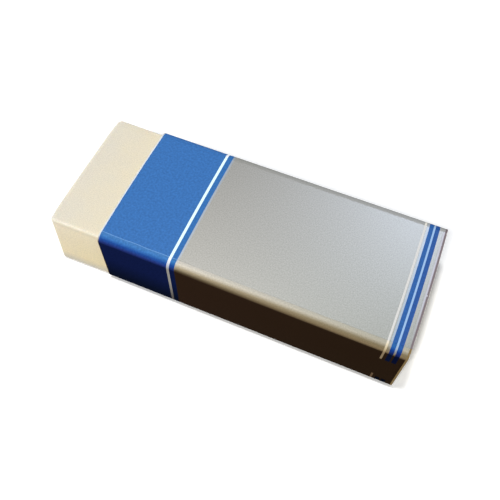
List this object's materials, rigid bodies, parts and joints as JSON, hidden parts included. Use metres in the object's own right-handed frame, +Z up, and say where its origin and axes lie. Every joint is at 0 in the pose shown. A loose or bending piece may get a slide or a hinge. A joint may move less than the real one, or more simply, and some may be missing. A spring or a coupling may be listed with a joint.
{
  "type": "rubber eraser",
  "caption": "Rubber eraser: a cream block with rounded edges that slides in a folded and glued card sleeve, printed silver with a blue field and thin blue and white lines.",
  "frame": {"origin": "under the middle of the whole eraser, on the surface that it lies on", "axes": "+X along the length, from the bare end of the block towards the far mouth of the sleeve; +Y across the width, towards the glued back panel; +Z up"},
  "size_m": [0.059, 0.024, 0.0129],
  "materials": {
    "cream_rubber": "matte",
    "printed_card": "satin"
  },
  "bodies": {
    "sleeve": {"card_sleeve": "printed_card"},
    "block": {"eraser_block": "cream_rubber"}
  },
  "joints": [
    {"name": "block_slide", "type": "slide", "parent": "sleeve", "child": "block", "axis": [-1, 0, 0], "range_m": [-0.0093, 0.03]}
  ]
}
